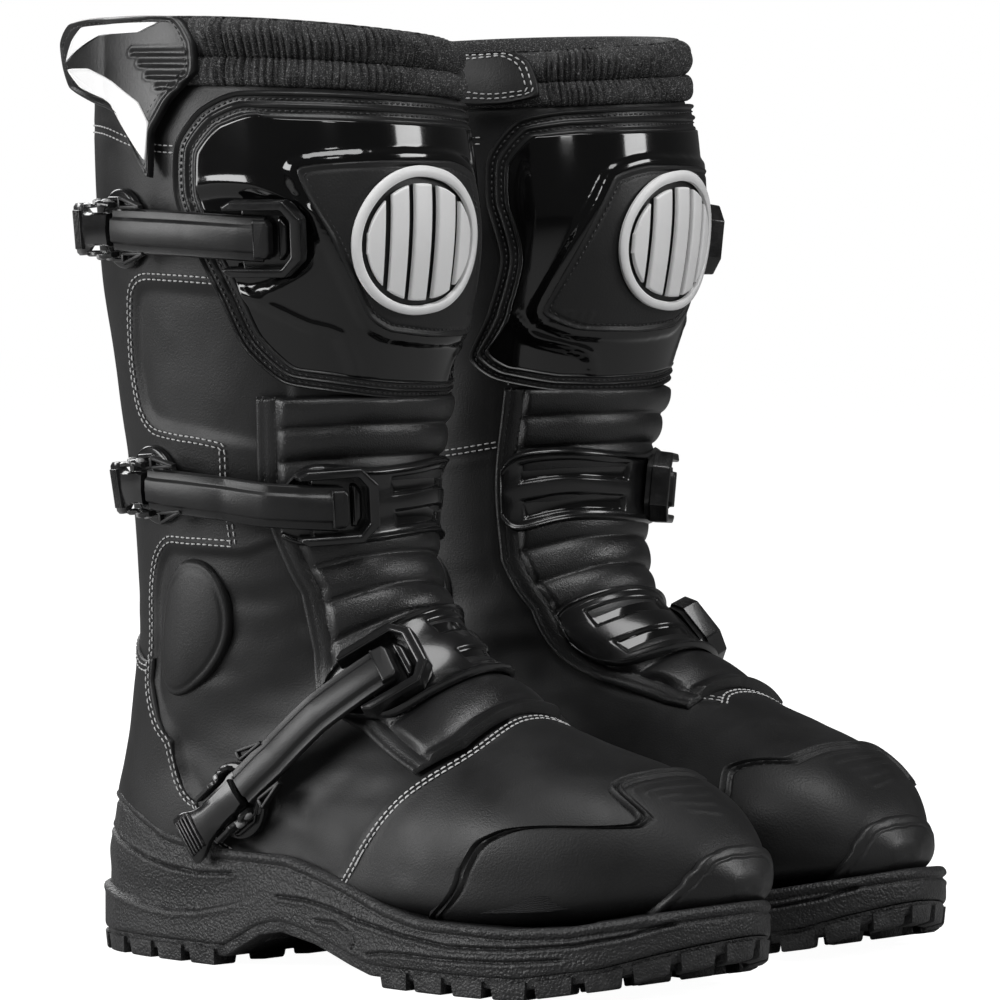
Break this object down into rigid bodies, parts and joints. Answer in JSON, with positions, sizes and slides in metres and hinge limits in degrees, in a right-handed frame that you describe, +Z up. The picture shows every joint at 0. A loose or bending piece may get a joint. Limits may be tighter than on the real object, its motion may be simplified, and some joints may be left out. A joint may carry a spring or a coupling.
{
  "type": "motorcycle riding boots",
  "caption": "Pair of tall motorcycle riding boots with shin armour, padded instep, hinged strap buckles, elastic cuffs and lugged soles.",
  "frame": {"origin": "centre of the pair's bounding box, on the ground", "axes": "+Z up, toes towards -Y; the right boot is on the -X side and the left boot on the +X side, standing a little further back"},
  "size_m": [0.3158, 0.339, 0.3643],
  "materials": {
    "leather": "matte black waxed leather with a fine grain",
    "lining": "black textile lining",
    "knit": "gathered elastic knit",
    "gloss": "polished moulded black plastic",
    "plastic": "satin moulded black plastic",
    "rubber": "matte black rubber",
    "white": "satin white moulded emblem"
  },
  "bodies": {
    "right_boot": {"right_outsole": "rubber", "right_midsole": "rubber", "right_toe_bumper": "rubber", "right_upper": "leather", "right_lining": "lining", "right_footbed": "lining", "right_cuff": "knit", "right_shin_padding": "leather", "right_heel_counter": "leather", "right_toe_cap": "leather", "right_ankle_guard_outer": "leather", "right_ankle_guard_inner": "leather", "right_closure_flap": "leather", "right_shin_frame": "rubber", "right_shin_plate": "gloss", "right_emblem_panel": "plastic", "right_emblem": "white", "right_cuff_badge": "rubber", "right_upper_holder": "plastic", "right_upper_catch": "plastic", "right_middle_holder": "plastic", "right_middle_catch": "plastic", "right_lower_holder": "plastic", "right_lower_catch": "plastic"},
    "left_boot": {"left_outsole": "rubber", "left_midsole": "rubber", "left_toe_bumper": "rubber", "left_upper": "leather", "left_lining": "lining", "left_footbed": "lining", "left_cuff": "knit", "left_shin_padding": "leather", "left_heel_counter": "leather", "left_toe_cap": "leather", "left_ankle_guard_outer": "leather", "left_ankle_guard_inner": "leather", "left_closure_flap": "leather", "left_shin_frame": "rubber", "left_shin_plate": "gloss", "left_emblem_panel": "plastic", "left_emblem": "white", "left_cuff_badge": "rubber", "left_upper_holder": "plastic", "left_upper_catch": "plastic", "left_middle_holder": "plastic", "left_middle_catch": "plastic", "left_lower_holder": "plastic", "left_lower_catch": "plastic"},
    "right_upper_strap_arm": {"right_upper_strap": "plastic"},
    "right_upper_buckle_lever": {"right_upper_lever": "plastic"},
    "right_middle_strap_arm": {"right_middle_strap": "plastic"},
    "right_middle_buckle_lever": {"right_middle_lever": "plastic"},
    "right_lower_strap_arm": {"right_lower_strap": "plastic"},
    "right_lower_buckle_lever": {"right_lower_lever": "plastic"},
    "left_upper_strap_arm": {"left_upper_strap": "plastic"},
    "left_upper_buckle_lever": {"left_upper_lever": "plastic"},
    "left_middle_strap_arm": {"left_middle_strap": "plastic"},
    "left_middle_buckle_lever": {"left_middle_lever": "plastic"},
    "left_lower_strap_arm": {"left_lower_strap": "plastic"},
    "left_lower_buckle_lever": {"left_lower_lever": "plastic"}
  },
  "joints": [
    {"name": "left_boot_lift", "type": "slide", "parent": "right_boot", "child": "left_boot", "axis": [0, 0, 1], "range_m": [0, 0.4]},
    {"name": "right_upper_strap_hinge", "type": "hinge", "parent": "right_boot", "child": "right_upper_strap_arm", "pos_m": [-0.14721, 0.00552, 0.27903], "axis": [-0.0948, -0.0438, 0.9945], "range_deg": [0, 75]},
    {"name": "right_upper_lever_hinge", "type": "hinge", "parent": "right_upper_strap_arm", "child": "right_upper_buckle_lever", "pos_m": [-0.15313, 0.08056, 0.28278], "axis": [-0.0801, 0.02, 0.9966], "range_deg": [0, 105]},
    {"name": "right_middle_strap_hinge", "type": "hinge", "parent": "right_boot", "child": "right_middle_strap_arm", "pos_m": [-0.11467, -0.00362, 0.17711], "axis": [-0.0922, -0.0236, 0.9955], "range_deg": [0, 75]},
    {"name": "right_middle_lever_hinge", "type": "hinge", "parent": "right_middle_strap_arm", "child": "right_middle_buckle_lever", "pos_m": [-0.13883, 0.07601, 0.18338], "axis": [-0.1324, 0.0896, 0.9871], "range_deg": [0, 105]},
    {"name": "right_lower_strap_hinge", "type": "hinge", "parent": "right_boot", "child": "right_lower_strap_arm", "pos_m": [-0.11076, -0.02333, 0.11795], "axis": [0.1583, 0.6286, 0.7614], "range_deg": [0, 75]},
    {"name": "right_lower_lever_hinge", "type": "hinge", "parent": "right_lower_strap_arm", "child": "right_lower_buckle_lever", "pos_m": [-0.12885, 0.03839, 0.06605], "axis": [0.0017, 0.5792, 0.8152], "range_deg": [0, 105]},
    {"name": "left_upper_strap_hinge", "type": "hinge", "parent": "left_boot", "child": "left_upper_strap_arm", "pos_m": [0.14721, 0.03452, 0.27903], "axis": [-0.0948, 0.0438, -0.9945], "range_deg": [0, 75]},
    {"name": "left_upper_lever_hinge", "type": "hinge", "parent": "left_upper_strap_arm", "child": "left_upper_buckle_lever", "pos_m": [0.15313, 0.10956, 0.28278], "axis": [-0.0801, -0.02, -0.9966], "range_deg": [0, 105]},
    {"name": "left_middle_strap_hinge", "type": "hinge", "parent": "left_boot", "child": "left_middle_strap_arm", "pos_m": [0.11467, 0.02538, 0.17711], "axis": [-0.0922, 0.0236, -0.9955], "range_deg": [0, 75]},
    {"name": "left_middle_lever_hinge", "type": "hinge", "parent": "left_middle_strap_arm", "child": "left_middle_buckle_lever", "pos_m": [0.13883, 0.10501, 0.18338], "axis": [-0.1324, -0.0896, -0.9871], "range_deg": [0, 105]},
    {"name": "left_lower_strap_hinge", "type": "hinge", "parent": "left_boot", "child": "left_lower_strap_arm", "pos_m": [0.11076, 0.00567, 0.11795], "axis": [0.1583, -0.6286, -0.7614], "range_deg": [0, 75]},
    {"name": "left_lower_lever_hinge", "type": "hinge", "parent": "left_lower_strap_arm", "child": "left_lower_buckle_lever", "pos_m": [0.12885, 0.06739, 0.06605], "axis": [0.0017, -0.5792, -0.8152], "range_deg": [0, 105]}
  ]
}
